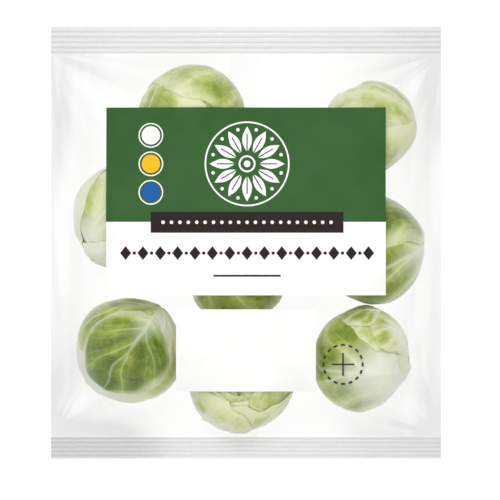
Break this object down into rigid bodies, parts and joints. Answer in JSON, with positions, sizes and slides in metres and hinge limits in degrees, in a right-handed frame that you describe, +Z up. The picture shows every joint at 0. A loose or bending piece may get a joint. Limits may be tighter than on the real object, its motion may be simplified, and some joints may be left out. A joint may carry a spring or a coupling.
{
  "type": "bag of brussels sprouts",
  "caption": "Sealed pillow bag of clear film with crimped ends and a lapped back seam, holding trimmed Brussels sprouts under an opaque front label.",
  "frame": {"origin": "on the surface that the bag lies on, under the middle of its outline", "axes": "+X to the right and +Y to the top of the pack as its front is read, +Z up, out of the front"},
  "size_m": [0.14, 0.155, 0.0439],
  "materials": {
    "clear_film": "clear, slightly hazy polypropylene film with a soft gloss",
    "green_label": "satin print, green with a white lower band and a dark strip between",
    "white_label": "satin white print",
    "sprout_leaf": "waxy leaf, mid green to pale yellow-green with near-white ribs"
  },
  "bodies": {
    "root": {"film_bag": "clear_film", "front_label": "green_label", "lower_label": "white_label", "sprout_top": "sprout_leaf", "sprout_top_right": "sprout_leaf", "sprout_left": "sprout_leaf", "sprout_right": "sprout_leaf", "sprout_lower_left": "sprout_leaf", "sprout_lower_right": "sprout_leaf", "sprout_middle": "sprout_leaf", "sprout_bottom": "sprout_leaf", "sprout_behind_label": "sprout_leaf"}
  },
  "joints": []
}
